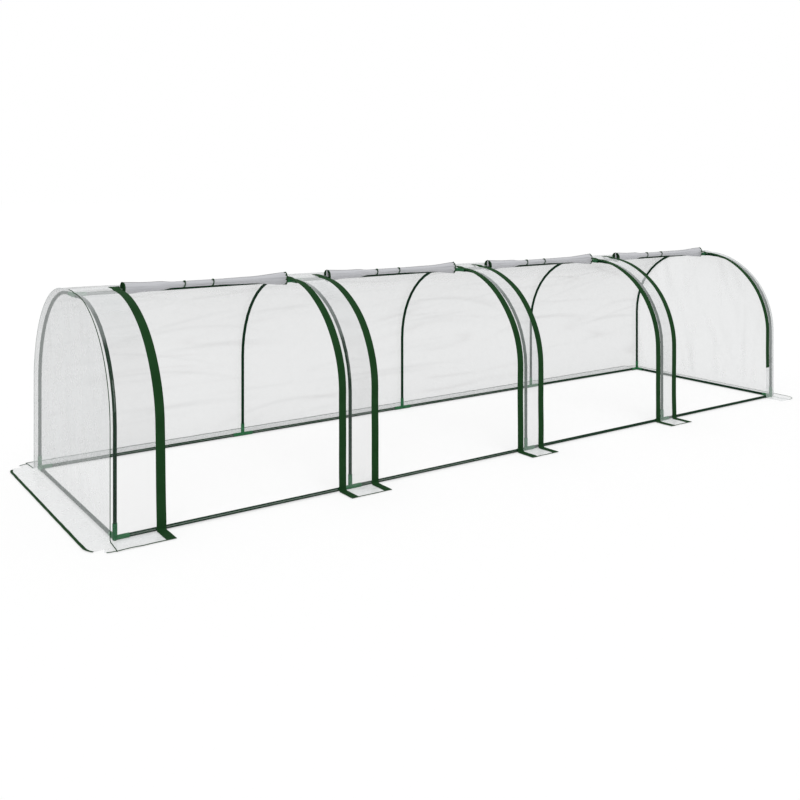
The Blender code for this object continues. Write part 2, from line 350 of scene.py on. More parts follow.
def arc(middle, start, end, radius_start, radius_end, step):
    """(y, z) points round a centre, at angles from +Y, while the radius eases to another value."""
    angles = steps(start, end, step / radius_start)
    eased = smooth(np.abs(angles - start), 0.0, abs(end - start))
    radii = radius_start + (radius_end - radius_start) * eased
    return np.stack([middle[0] + radii * np.cos(angles), middle[1] + radii * np.sin(angles)], 1)


def line(start, end, step):
    """(y, z) points on a straight line."""
    count = max(2, round(math.dist(start, end) / step) + 1)
    return np.linspace(start, end, count)


def section():
    """The cover's section as (y, z) points: from the front hem up, over the ridge, to the back hem."""
    quarter = math.pi / 2
    shoulder = 1.4 * quarter
    front_bend, back_bend = (-FLAT_Y, BEND.z), (FLAT_Y, BEND.z)
    front_r, shoulder_r, back_r = BEND_R + FRONT_OFF, BEND_R + SHOULDER_OFF, BEND_R + TOP_OFF
    flat = [-FLAT_Y, NOTCH_Y, SEAM_Y, DOOR_SEAM_Y, FLAT_Y]
    rises = [SHOULDER_OFF + SHOULDER_RISE, NOTCH_OFF, SEAM_OFF, SEAM_OFF, TOP_OFF]
    parts = [
        line((FRONT_HEM, GROUND), (FRONT_HEM + HEM, GROUND), FOLD_STEP),
        line((FRONT_HEM + HEM, GROUND), (FRONT_Y - FOLD_R, GROUND), ROW_STEP),
        arc((FRONT_Y - FOLD_R, FOLD_Z), -quarter, 0.0, FOLD_R, FOLD_R, FOLD_STEP),
        line((FRONT_Y, FOLD_Z), (FRONT_Y, SHORT_TAPE_Z), ROW_STEP),
        line((FRONT_Y, SHORT_TAPE_Z), (FRONT_Y, BEND.z), ROW_STEP),
        arc(front_bend, 2 * quarter, shoulder, front_r, shoulder_r, ROW_STEP),
        arc(front_bend, shoulder, quarter, shoulder_r, BEND_R + rises[0], ROW_STEP),
    ]
    heights = [RIDGE_Z + rise for rise in rises]
    for low, high, low_z, high_z in zip(flat, flat[1:], heights, heights[1:]):
        parts.append(line((low, low_z), (high, high_z), ROW_STEP))
    parts += [
        arc(back_bend, quarter, 0.0, back_r, back_r, ROW_STEP),
        line((BACK_Y, BEND.z), (BACK_Y, FOLD_Z), ROW_STEP),
        arc((BACK_Y + FOLD_R, FOLD_Z), 2 * quarter, 3 * quarter, FOLD_R, FOLD_R, FOLD_STEP),
        line((BACK_Y + FOLD_R, GROUND), (BACK_HEM, GROUND), ROW_STEP),
    ]
    points = np.concatenate(parts)
    new = np.ones(len(points), bool)
    new[1:] = np.linalg.norm(np.diff(points, axis=0), axis=1) > SAME_POINT
    return points[new]


SECTION = section()
ALONG = distances(SECTION)
TANGENT = np.gradient(SECTION, ALONG, axis=0)
OUTWARD = np.stack([-TANGENT[:, 1], TANGENT[:, 0]], 1)
OUTWARD /= np.linalg.norm(OUTWARD, axis=1)[:, None]


def row_of(y, z):
    """The section's row that is nearest to a point."""
    return int(np.argmin(np.hypot(SECTION[:, 0] - y, SECTION[:, 1] - z)))


HEM_ROW = row_of(FRONT_HEM + HEM, GROUND)
FRONT_FOLD_ROW = row_of(FRONT_Y, FOLD_Z)
SHORT_TAPE_ROW = row_of(FRONT_Y, SHORT_TAPE_Z)
BEND_ROW = row_of(FRONT_Y, BEND.z)
NOTCH_ROW = row_of(NOTCH_Y, RIDGE_Z + NOTCH_OFF)
SEAM_ROW = row_of(SEAM_Y, RIDGE_Z + SEAM_OFF)
DOOR_SEAM_ROW = row_of(DOOR_SEAM_Y, RIDGE_Z + SEAM_OFF)
BACK_BEND_ROW = row_of(BACK_Y, BEND.z)
BACK_FOLD_ROW = row_of(BACK_Y, FOLD_Z)
BACK_GROUND_ROW = row_of(BACK_Y + FOLD_R, GROUND)


def relief(x, rows):
    """How far the cover stands out from its section at each x and row, and how creased it is there."""
    along = ALONG[rows][:, None]
    x = x[None, :]
    foot, ridge, back_foot = ALONG[FRONT_FOLD_ROW], ALONG[DOOR_SEAM_ROW], ALONG[BACK_FOLD_ROW]
    bay = (x - HOOP_X[0]) / (HOOP_X[1] - HOOP_X[0])
    between = np.sin(math.pi * np.clip(bay, 0.0, DOOR_COUNT)) ** 2
    tall = smooth(along, foot, foot + FOOT_FADE)
    tall *= 1 - smooth(along, back_foot - FOOT_FADE, back_foot)
    back = smooth(along, ridge, ridge + RIDGE_FADE)
    front = np.clip((along - foot) / (ALONG[SEAM_ROW] - foot), 0.0, 1.0)
    from_hoop = np.min([np.abs(x - hoop) for hoop in HOOP_X], axis=0)
    ends = smooth(x, LEFT_EDGE, LEFT_EDGE + END_FADE) * (1 - smooth(x, RIGHT_EDGE - END_FADE, RIGHT_EDGE))
    area = (LEFT_EDGE, RIGHT_EDGE, ridge, back_foot)
    folds = creases(x, along, 5, area, count=90, tilt=-0.04, spread=0.10, length=0.30, width=0.008)
    folds = back * tall * ends * folds
    out = -SAG * between * tall * back
    slack = smooth(x, HOOP_X[0] + 0.1, HOOP_X[2] + 0.2)
    out -= EDGE_SAG * slack * smooth(from_hoop, 0.03, 0.20) * np.sin(math.pi * front) ** 2
    out += SWELL * tall * waves(x, along, seed=3, wavelength=0.30) * ends
    out += CREASE_HEIGHT * folds
    at_fold = (1 - tall) * (1 - smooth(np.abs(along - foot), 0.0, 0.02))
    lying = np.abs(waves(x, along, seed=11, wavelength=0.12)) * RIPPLE
    return out + lying * (1 - tall) * (1 - at_fold), np.abs(folds)


def skirt_share(y):
    """How far out on the ground each y is, from 0 at the back wall to 1 at the back hem."""
    return np.clip((np.abs(y) - LEG_Y - TOP_OFF) / (BACK_HEM - LEG_Y - TOP_OFF), 0.0, 1.0)


def leaned(x, rows):
    """The x of each point.

    The first strip leans back towards its hoop, and the corner seams lean out on the ground.
    """
    y, z = SECTION[rows, 0][:, None], SECTION[rows, 1][:, None]
    x = x[None, :]
    rise = np.clip(z / RIDGE_Z, 0.0, 1.0) ** 1.3
    in_front = 1 - smooth(y, SEAM_Y, 0.10)
    reach = np.clip((x - LEFT_EDGE) / (STRIP_HIGH[0] - LEFT_EDGE), 0.0, 1.0)
    reach *= 1 - smooth(x, STRIP_HIGH[0], STRIP_HIGH[0] + 0.15)
    right = smooth(x, RIGHT_EDGE - CORNER_FADE, RIGHT_EDGE)
    left = 1 - smooth(x, LEFT_EDGE, LEFT_EDGE + CORNER_FADE)
    return x - LEAN * rise * in_front * reach + CORNER_LEAN * skirt_share(y) * (right - left)


def cover_points(x, rows):
    """The cover's surface as rows of points, at each row and x, and how creased it is at each."""
    out, folds = relief(x, rows)
    y = SECTION[rows, 0][:, None] + out * OUTWARD[rows, 0][:, None]
    z = SECTION[rows, 1][:, None] + out * OUTWARD[rows, 1][:, None]
    return np.stack([leaned(x, rows), y, z], 2), folds


def add_object(name, data):
    """A new object in the scene."""
    made = bpy.data.objects.new(name, data)
    bpy.context.scene.collection.objects.link(made)
    return made


def grid(name, points, keep=None, across=None, along=None, folds=None):
    """An open sheet through rows of points. Its UV map is in metres, across and along.

    keep says which faces stay, and folds how creased the sheet is at each point.
    """
    height, width = points.shape[:2]
    if across is None:
        across = distances(points[0])
    if along is None:
        along = distances(points[:, width // 2])
    index = np.arange(height * width).reshape(height, width)
    faces = np.stack([index[:-1, :-1], index[:-1, 1:], index[1:, 1:], index[1:, :-1]], 2)
    faces = faces.reshape(-1, 4) if keep is None else faces[keep]
    used, numbered = np.unique(faces, return_inverse=True)
    mesh = bpy.data.meshes.new(name)
    mesh.from_pydata(points.reshape(-1, 3)[used].tolist(), [], numbered.reshape(-1, 4).tolist())
    uv = np.stack(np.meshgrid(across, along), 2).reshape(-1, 2)[used]
    corners = np.zeros(len(mesh.loops), np.int32)
    mesh.loops.foreach_get("vertex_index", corners)
    layer = mesh.uv_layers.new(name="Metres")
    layer.data.foreach_set("uv", uv[corners].astype(np.float32).ravel())
    if folds is not None:
        creased = mesh.attributes.new("Crease", "FLOAT", "POINT")
        creased.data.foreach_set("value", folds.ravel()[used].astype(np.float32))
    mesh.shade_smooth()
    return add_object(name, mesh)


def thicken(obj, thickness):
    """Gives an open sheet its thickness, half on each side."""
    solid = obj.modifiers.new("thickness", "SOLIDIFY")
    solid.thickness = thickness
    solid.offset = 0.0


def finish_piece(obj, material, body="greenhouse"):
    """Gives a piece its material and slot and puts it on its body."""
    obj.data.materials.append(material)
    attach(obj, body)
    return obj


def feed(node, name, value):
    """Links a node's input to an output, or sets it to a plain value."""
    if isinstance(value, bpy.types.NodeSocket):
        node.id_data.links.new(value, node.inputs[name])
    else:
        node.inputs[name].default_value = value


def new_material(name, colour, roughness, specular=0.5):
    """A Principled material and its shader."""
    material = bpy.data.materials.new(name)
    material.use_nodes = True
    shader = material.node_tree.nodes["Principled BSDF"]
    feed(shader, "Base Color", colour)
    feed(shader, "Roughness", roughness)
    feed(shader, "Specular IOR Level", specular)
    return material, shader


def new_node(beside, kind):
    """A new node in the tree of another node or of an output."""
    return beside.id_data.nodes.new("ShaderNode" + kind)


def coordinate(shader, kind):
    """A texture coordinate output of that kind."""
    return new_node(shader, "TexCoord").outputs[kind]


def noise(place, scale, detail, stretch=(1.0, 1.0, 1.0)):
    """A noise texture over a coordinate output, stretched per axis. Returns its factor."""
    mapping = new_node(place, "Mapping")
    feed(mapping, "Scale", stretch)
    feed(mapping, "Vector", place)
    texture = new_node(place, "TexNoise")
    feed(texture, "Scale", scale)
    feed(texture, "Detail", detail)
    feed(texture, "Vector", mapping.outputs["Vector"])
    return texture.outputs["Fac"]


def remap(factor, low=0.0, high=1.0, from_low=0.3, from_high=0.7):
    """A factor stretched onto another range."""
    ranged = new_node(factor, "MapRange")
    feed(ranged, "From Min", from_low)
    feed(ranged, "From Max", from_high)
    feed(ranged, "To Min", low)
    feed(ranged, "To Max", high)
    feed(ranged, "Value", factor)
    return ranged.outputs["Result"]


def colour_between(factor, first, second):
    """A mix of two colours by a factor. Each is a colour or an output."""
    mixed = new_node(factor, "Mix")
    mixed.data_type = "RGBA"
    feed(mixed, "A", first)
    feed(mixed, "B", second)
    feed(mixed, "Factor", factor)
    return mixed.outputs["Result"]


def maths(operation, first, second=0.0):
    """A Math node on outputs or plain numbers."""
    made = new_node(first if isinstance(first, bpy.types.NodeSocket) else second, "Math")
    made.operation = operation
    feed(made, 0, first)
    feed(made, 1, second)
    return made.outputs["Value"]


def sine(distance, length):
    """A sine wave of that length along a distance output."""
    return maths("SINE", maths("MULTIPLY", distance, 2 * math.pi / length))


def bump(shader, height, distance, strength):
    """Small unevenness of a surface, from a height output."""
    made = new_node(height, "Bump")
    feed(made, "Strength", strength)
    feed(made, "Distance", distance)
    feed(made, "Height", height)
    feed(shader, "Normal", made.outputs["Normal"])


def ramp(factor, stops):
    """A ramp over a factor through (position, level) stops, in the film's tint.

    As a plain number its output is the level, within 1%.
    """
    made = new_node(factor, "ValToRGB")
    elements = made.color_ramp.elements
    for _ in range(len(stops) - 2):
        elements.new(0.5)
    for element, (position, level) in zip(elements, stops):
        element.position = position
        element.color = (*[level * part for part in FILM_TINT], 1.0)
    feed(made, "Fac", factor)
    return made.outputs["Color"]


def mix_shaders(factor, first, second, output):
    """Puts a mix of two shaders on an output node."""
    mixed = new_node(factor, "MixShader")
    for name, value in enumerate((factor, first, second)):
        feed(mixed, name, value)
    feed(output, "Surface", mixed.outputs["Shader"])


def seen_straight(beside):
    """1 for what is seen directly, through film or mirrored, and 0 for what only gives light."""
    rays = new_node(beside, "LightPath")
    seen = maths("MAXIMUM", rays.outputs["Is Camera Ray"], rays.outputs["Is Transmission Ray"])
    return maths("MAXIMUM", seen, rays.outputs["Is Glossy Ray"])


def make_film(name, look, stretch, crease_shade):
    """Clear plastic film, a little milky, that lets most of the light through.

    Its density and its tone go by how far from face on it is seen. Where its tone changes with that
    angle it is a painted sheen. Along the lines of its noise and on its folds its tone is darkened,
    a painted shade.
    """
    densities = [(facing, density) for facing, density, tone in look]
    tones = [(facing, tone) for facing, density, tone in look]
    middle = tones[1][1]
    material, shader = new_material(name, (middle, middle, middle, 1.0), 0.24)
    place = coordinate(shader, "UV")
    patches = remap(noise(place, scale=2.5, detail=2.0), from_low=0.42, from_high=0.62)
    swells = noise(place, scale=4.0, detail=1.0, stretch=stretch)
    bump(shader, swells, distance=0.0008, strength=0.25)
    gloss = remap(noise(place, scale=12.0, detail=2.0), low=0.20, high=0.32)
    feed(shader, "Roughness", gloss)
    field = noise(place, scale=1.1, detail=1.0, stretch=stretch)
    swing = maths("SINE", maths("MULTIPLY", field, math.pi * CREASE_LINES))
    ridge = maths("SUBTRACT", 1.0, maths("ABSOLUTE", swing))
    lines = maths("POWER", ridge, CREASE_POWER)
    creased = new_node(shader, "Attribute")
    creased.attribute_name = "Crease"
    folds = creased.outputs["Fac"]
    seen = new_node(shader, "LayerWeight")
    feed(seen, "Blend", 0.5)
    facing = seen.outputs["Facing"]
    folded = maths("MULTIPLY", folds, CREASE_DENSITY)
    density = maths("ADD", ramp(facing, densities), folded)
    rays = new_node(shader, "LightPath")
    lighting = maths("MAXIMUM", rays.outputs["Is Shadow Ray"], rays.outputs["Is Diffuse Ray"])
    stopped = maths("SUBTRACT", 1.0, maths("MULTIPLY", lighting, CLEAR_TO_LIGHT))
    feed(shader, "Alpha", maths("MULTIPLY", density, stopped))
    # Painted shade: the tone is darkened along the noise's lines and on the sheet's folds.
    shade = maths("MULTIPLY", maths("MULTIPLY", lines, patches), crease_shade)
    fold_shade = maths("MULTIPLY", folds, crease_shade * FOLD_SHADE)
    shade = maths("ADD", shade, fold_shade)
    shaded_tone = (middle * SHADED_LEVEL, middle * SHADED_LEVEL, middle * SHADED_LEVEL, 1.0)
    # Painted sheen: the film's tone changes with how far from face on it is seen.
    tone = colour_between(shade, ramp(facing, tones), shaded_tone)
    feed(shader, "Base Color", tone)
    return material


def make_tape():
    """Woven binding tape: fine ribs, a stitch line near each edge and a little fading."""
    dark = (0.0094, 0.0430, 0.0115, 1.0)
    light = (0.0140, 0.0560, 0.0165, 1.0)
    thread = (0.0190, 0.0700, 0.0230, 1.0)
    material, shader = new_material("binding_tape", dark, 0.80, 0.06)
    place = coordinate(shader, "UV")
    faded = remap(noise(place, scale=9.0, detail=4.0))
    cloth = colour_between(faded, dark, light)
    split = new_node(place, "SeparateXYZ")
    feed(split, "Vector", place)
    across, along = split.outputs["X"], split.outputs["Y"]
    offset = maths("SUBTRACT", maths("ABSOLUTE", across), STITCH_AT)
    on_line = maths("LESS_THAN", maths("ABSOLUTE", offset), STITCH_R)
    dash = maths("GREATER_THAN", sine(along, STITCH_LENGTH), STITCH_GAP)
    stitch = maths("MULTIPLY", on_line, dash)
    feed(shader, "Base Color", colour_between(stitch, cloth, thread))
    ribs, threads = sine(along, RIB_LENGTH), sine(across, THREAD_WIDTH)
    weave = maths("MULTIPLY", ribs, threads)
    weave = maths("ADD", weave, maths("MULTIPLY", stitch, 2.0))
    bump(shader, weave, distance=0.0002, strength=0.6)
    return material


def make_tube():
    """Powder-coated steel: dark green with a fine orange peel and slight dulling."""
    dark = (0.0020, 0.0230, 0.0080, 1.0)
    light = (0.0036, 0.0290, 0.0110, 1.0)
    material, shader = new_material("powder_coat", dark, 0.18, 0.035)
    place = coordinate(shader, "Object")
    shade = remap(noise(place, scale=6.0, detail=4.0))
    feed(shader, "Base Color", colour_between(shade, dark, light))
    gloss = remap(noise(place, scale=40.0, detail=5.0), low=0.15, high=0.21)
    feed(shader, "Roughness", gloss)
    bump(shader, noise(place, scale=900.0, detail=2.0), distance=0.00003, strength=0.35)
    return material


def make_connector():
    """Moulded green plastic, lighter than the tubes."""
    dark = (0.011, 0.108, 0.036, 1.0)
    light = (0.019, 0.145, 0.050, 1.0)
    material, shader = new_material("moulded_plastic", dark, 0.42, 0.25)
    place = coordinate(shader, "Object")
    shade = remap(noise(place, scale=30.0, detail=4.0))
    feed(shader, "Base Color", colour_between(shade, dark, light))
    bump(shader, noise(place, scale=700.0, detail=2.0), distance=0.0003, strength=0.4)
    return material


def make_rolled_film():
    """Many layers of film rolled up: pale grey, with streaks along the roll."""
    dark = (0.43, 0.435, 0.455, 1.0)
    light = (0.54, 0.545, 0.57, 1.0)
    material, shader = new_material("rolled_film", light, 0.40, 0.25)
    place = coordinate(shader, "UV")
    streak = noise(place, scale=12.0, detail=4.0, stretch=(0.35, 16.0, 1.0))
    shade = remap(streak, from_low=0.32, from_high=0.5)
    feed(shader, "Base Color", colour_between(shade, dark, light))
    bump(shader, streak, distance=0.0009, strength=0.4)
    return material


FILM = make_film("clear_film", CLEAR_LOOK, stretch=(1.0, 6.0, 1.0), crease_shade=0.35)
WALL_FILM = make_film("wall_film", WALL_LOOK, stretch=(0.4, 4.2, 1.0), crease_shade=0.8)
END_FILM = make_film("end_film", END_LOOK, stretch=(4.0, 0.6, 1.0), crease_shade=0.25)
WELD = make_film("weld", WELD_LOOK, stretch=(1.0, 6.0, 1.0), crease_shade=0.0)
TAPE_CLOTH = make_tape()
POWDER_COAT = make_tube()
PLASTIC = make_connector()
ROLLED = make_rolled_film()


def finish_frame():
    """The frame's nodes keep their solids and get their finishes."""
    for name, node in frame["nodes"].items():
        if "connector" in name:
            finish = PLASTIC
        elif name.startswith(TUBES):
            finish = POWDER_COAT
        else:
            continue
        for place in node.material_slots:
            place.material = finish


def door_name(number, word):
    """The name of a door's piece."""
    return f"door_{number + 1}_{word}"


def roll_span(number):
    """The x of a rolled door's two ends and of its two ties."""
    low = HOOP_X[number] + ROLL_START[number]
    high = HOOP_X[number + 1] - ROLL_STOP[number]
    return low, high, HOOP_X[number] + TIE_LEFT, HOOP_X[number] + TIE_RIGHT


def cover_columns():
    """The x of each column of the cover, finer in the strips than in the bays."""
    parts = []
    for number in range(HOOP_COUNT):
        parts.append(steps(STRIP_LOW[number], STRIP_HIGH[number], STRIP_STEP))
        if number < DOOR_COUNT:
            parts.append(steps(STRIP_HIGH[number], STRIP_LOW[number + 1], BAY_STEP))
    return np.unique(np.round(np.concatenate(parts), 6))


def make_cover():
    """The sheet over the tunnel: the back wall, the roof and the front strips, open at the doors."""
    x = cover_columns()
    rows = np.arange(len(SECTION))
    points, folds = cover_points(x, rows)
    middle = (x[:-1] + x[1:]) / 2
    keep = np.ones((len(rows) - 1, len(x) - 1), bool)
    for number in range(DOOR_COUNT):
        next_low = STRIP_LOW[number + 1]
        keep[:DOOR_SEAM_ROW, (middle > STRIP_HIGH[number]) & (middle < next_low)] = False
        under_roll = (middle > next_low) & (middle < roll_span(number)[1] + ROLL_GAP)
        keep[NOTCH_ROW:DOOR_SEAM_ROW, under_roll] = False
    made = grid("cover_film", points, keep, x, ALONG, folds)
    finish_piece(made, FILM)
    made.data.materials.append(WALL_FILM)
    wall = np.repeat(np.arange(len(rows) - 1)[:, None] >= DOOR_SEAM_ROW, len(x) - 1, axis=1)[keep]
    made.data.polygons.foreach_set("material_index", wall.astype(np.int32))
    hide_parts("cover_back", *STRIP_NAMES)
    areas = np.diff(ALONG)[:, None] * np.diff(x)[None, :]
    return made, float(areas[keep].sum())


def trim(name, x, rows, keep, across):
    """A piece of tape over the cover, at those rows and x."""
    tape = grid(name, cover_points(x, rows)[0], keep, across, ALONG[rows])
    thicken(tape, TAPE_THICK)
    return finish_piece(tape, TAPE_CLOTH)


def binding(name, low, high, first_row, clear_from=-math.inf):
    """A tape sewn over the cover's edge, along its section.

    Past the notch it only goes on beyond the roll, from the x called clear_from.
    """
    x = steps(low, high, TAPE / 6)
    rows = np.arange(first_row, SEAM_ROW + 1)
    clear = (x[:-1] + x[1:]) / 2 > clear_from
    keep = (rows[:-1, None] < NOTCH_ROW) | clear[None, :]
    return trim(name, x, rows, keep, x - (low + high) / 2)


def front_hem(name, low, high):
    """The narrow hem of a strip's skirt, between the feet of its tapes."""
    x = steps(low, high, STRIP_STEP)
    return trim(name, x, np.arange(HEM_ROW + 1), None, x)


def make_bindings():
    """Two tapes on each middle strip, one on each end strip, and the hems between their feet."""
    made = []
    for number in range(HOOP_COUNT):
        low, high = STRIP_LOW[number], STRIP_HIGH[number]
        trims = []
        hem_low, hem_high = low, high
        if number < DOOR_COUNT:
            hem_high = high - (FIRST_TAPE if number == 0 else TAPE)
            trims.append(binding(f"tape_{number + 1}_right", hem_high, high, 0))
        if number > 0:
            hem_low = low + (TAPE if number < DOOR_COUNT else LAST_TAPE)
            first_row = 0 if number < DOOR_COUNT else SHORT_TAPE_ROW
            clear_from = roll_span(number - 1)[1] + ROLL_GAP
            trims.append(binding(f"tape_{number + 1}_left", low, hem_low, first_row, clear_from))
        if number < DOOR_COUNT:
            trims.append(front_hem(f"hem_{number + 1}", hem_low, hem_high))
        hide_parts(f"binding_{number + 1}")
        made += trims
    return made


def bead(name, path, radius, material, slot="tape", closed=False):
    """A thin round bead along a path, as a mesh."""
    curve = bpy.data.curves.new(name + "_path", "CURVE")
    curve.dimensions = "3D"
    curve.bevel_depth = radius
    curve.bevel_resolution = BEAD_RESOLUTION
    curve.use_fill_caps = not closed
    spline = curve.splines.new("POLY")
    spline.points.add(len(path) - 1)
    for target, point in zip(spline.points, path):
        target.co = (*point, 1.0)
    spline.use_cyclic_u = closed
    helper = bpy.data.objects.new(name + "_path", curve)
    mesh = bpy.data.meshes.new_from_object(helper)
    bpy.data.objects.remove(helper, do_unlink=True)
    mesh.name = name
    mesh.shade_smooth()
    return finish_piece(add_object(name, mesh), material)


def seam_path(side, first, last):
    """The seam between the cover and an end wall, from one row to another."""
    rows = np.arange(first, last + 1)
    return cover_points(np.array([side * EDGE_REACH[side]]), rows)[0][:, 0]


def make_seams():
    """The seams round both ends of the cover, and the hem along its back.

    At the left they are bound in green in front and on the ground. Elsewhere they are welds.
    """
    made = []
    last = len(SECTION) - 1
    for side, word, *finish in ((-1, "left", TAPE_CLOTH, "tape"), (1, "right", WELD, "film")):
        for part, first_row, last_row, look in (
            ("front", 0, SEAM_ROW, finish),
            ("foot", BACK_GROUND_ROW, last, finish),
            ("back", SEAM_ROW, BACK_GROUND_ROW, (WELD, "film")),
        ):
            path = seam_path(side, first_row, last_row)
            made.append(bead(f"seam_{word}_{part}", path, WELT_R, *look))
    columns = steps(LEFT_EDGE, RIGHT_EDGE, HEM_STEP)
    hem = cover_points(columns, np.array([last]))[0][0]
    made.append(bead("hem_back", hem, BACK_HEM_R, TAPE_CLOTH))
    return made


def skirt_edge(y, side):
    """The x of an end skirt's outer edge at each y, with its rounded corners.

    On the left its corners have notches, and on the right it is narrower.
    """
    beyond = np.clip(np.abs(y) - CORNER_Y, 0.0, CORNER_R)
    edge = CORNER_X + np.sqrt(CORNER_R**2 - beyond**2)
    if side > 0:
        narrower = 1 - smooth(np.abs(y), CORNER_Y, CORNER_Y + CORNER_R)
        return edge - (CORNER_X + CORNER_R - RIGHT_HEM) * narrower
    share = (np.abs(y) - NOTCH_FROM) / (NOTCH_TO - NOTCH_FROM)
    notch = NOTCH_IN + (NOTCH_OUT - NOTCH_IN) * share
    return -np.where((share > 0) & (share < 1), notch, edge)


def seam_x(y, side):
    """How far from the middle the corner seam lies on the ground at each y."""
    return EDGE_REACH[side] + CORNER_LEAN * skirt_share(y)


def skirt_ripple(x, y):
    """How far an end skirt, which isn't quite flat, stands off the ground at each point."""
    return RIPPLE * np.abs(waves(x, y, seed=31, wavelength=0.10))


def end_top(y):
    """The height of the cover's section at each y."""
    upper = SECTION[BEND_ROW : BACK_BEND_ROW + 1]
    return np.interp(y, upper[:, 0], upper[:, 1])


def end_relief(y, z, side):
    """Faint upright folds of an end wall that run down from the arch, and how creased it is there."""
    edge = smooth(end_top(y) - z, 0.0, 0.06) * smooth(z, FOLD_R, 0.08)
    seed = 21 if side < 0 else 23
    area = (-0.5, 0.5, 0.0, 0.8)
    steep = math.radians(80)
    folds = creases(y, z, seed + 1, area, count=30, tilt=steep, spread=0.12, length=0.22, width=0.014)
    folds = edge * folds
    swells = SWELL * waves(y, z, seed, wavelength=0.25) * edge
    return swells + END_CREASE_HEIGHT * folds, np.abs(folds)


def end_columns():
    """The y of each column of an end wall and its skirt, closer together towards the legs."""
    turn = np.linspace(-math.pi / 2, math.pi / 2, WALL_COLUMNS)
    parts = [(FRONT_Y + BACK_Y) / 2 + (BACK_Y - FRONT_Y) / 2 * np.sin(turn)]
    sides = [notch + side for notch in (NOTCH_FROM, NOTCH_TO) for side in (-NOTCH_SIDE, NOTCH_SIDE)]
    for sign, inner in ((-1, -FRONT_Y), (1, BACK_Y)):
        stops = [inner, *sides, SKIRT_END]
        for low, high in zip(stops, stops[1:]):
            parts.append(sign * steps(low, high, SKIRT_STEP))
    return np.unique(np.round(np.concatenate(parts), 6))


def make_end(side, name):
    """An end wall and its skirt, in one sheet."""
    y = end_columns()
    in_wall = (y >= FRONT_Y - TINY) & (y <= BACK_Y + TINY)
    top = np.where(in_wall, end_top(y), BEND.z)
    rows, along, creased = [], [], []
    seam = np.where(in_wall, EDGE_REACH[side], seam_x(y, side))
    for share in np.linspace(1.0, 0.0, WALL_ROWS):
        z = FOLD_Z + (top - FOLD_Z) * share
        out, folds = end_relief(y, z, side)
        rows.append(np.stack([side * (seam + out), y, z], 1))
        creased.append(folds * in_wall)
        along.append(0.8 * (1 - share))
    for angle in np.linspace(0.0, math.pi / 2, FOLD_ROWS + 1)[1:]:
        reach = FOLD_R * (1 - math.cos(angle)) * in_wall
        z = np.where(in_wall, FOLD_Z - FOLD_R * math.sin(angle), GROUND)
        rows.append(np.stack([side * (seam + reach), y, z], 1))
        creased.append(np.zeros(len(y)))
        along.append(along[-1] + 0.003)
    wall_faces = len(rows) - 1
    inner = np.abs(rows[-1][:, 0])
    outer = np.abs(skirt_edge(y, side))
    for share in np.linspace(0.0, 1.0, SKIRT_ROWS + 1)[1:]:
        x = side * (inner + (outer - inner) * share)
        lift = skirt_ripple(x, y) * min(1.0, 3 * share)
        rows.append(np.stack([x, y, GROUND + lift], 1))
        creased.append(np.zeros(len(y)))
        along.append(along[-1] + 0.008)
    keep = np.ones((len(rows) - 1, len(y) - 1), bool)
    middle = (y[:-1] + y[1:]) / 2
    keep[:wall_faces, (middle < FRONT_Y) | (middle > BACK_Y)] = False
    sheet = grid(name, np.stack(rows), keep, y, np.array(along), np.stack(creased))
    finish_piece(sheet, END_FILM)
    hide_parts(name.replace("film_end", "cover_end"))
    return sheet


def hem_line(side, first, last, step):
    """Points along an end skirt's outer edge between two values of y."""
    y = steps(first, last, step)
    x = side * np.abs(skirt_edge(y, side))
    return np.stack([x, y, GROUND + skirt_ripple(x, y)], 1)


def corner_point(side, sign):
    """Where the corner seam meets the hem, at the front or the back of an end."""
    return np.array([[side * seam_x(np.array(BACK_HEM), side), sign * SKIRT_END, GROUND]])


def make_left_hem():
    """The wide hem of the left skirt, up to the cuts at both corners, and the thin hems beyond them."""
    round_part = steps(-NOTCH_FROM, -CORNER_Y, CORNER_STEP)
    y = np.unique(np.concatenate([round_part, steps(-CORNER_Y, LEFT_HEM_END, HEM_STEP)]))
    outer = np.stack([-np.abs(skirt_edge(y * 0.9999, -1)), y], 1)
    tangent = np.gradient(outer, axis=0)
    tangent /= np.linalg.norm(tangent, axis=1)[:, None]
    inward = np.stack([tangent[:, 1], -tangent[:, 0]], 1)
    width = END_HEM * (1 - 0.45 * smooth(-y, CORNER_Y, NOTCH_FROM))[:, None, None]
    across = np.linspace(-0.05, 1.0, 4)
    flat = outer[:, None, :] + across[None, :, None] * width * inward[:, None, :]
    height = GROUND + skirt_ripple(flat[:, :, 0], flat[:, :, 1])
    points = np.concatenate([flat, height[:, :, None]], 2)
    hem = grid("hem_end_left", points, None, across * END_HEM)
    thicken(hem, TAPE_THICK)
    trims = [finish_piece(hem, TAPE_CLOTH)]
    for sign, word in ((-1, "front"), (1, "back")):
        path = hem_line(-1, sign * (NOTCH_TO + 0.0003), sign * SKIRT_END, 0.003)
        path = np.concatenate([path, corner_point(-1, sign)])
        trims.append(bead(f"hem_corner_{word}", path, THIN_HEM_R, TAPE_CLOTH))
    return trims


def make_right_hem():
    """The thin hem round the right skirt."""
    edge = hem_line(1, -SKIRT_END, SKIRT_END, CORNER_STEP)
    path = np.concatenate([corner_point(1, -1), edge, corner_point(1, 1)])
    return [bead("hem_end_right", path, RIGHT_HEM_R, TAPE_CLOTH)]


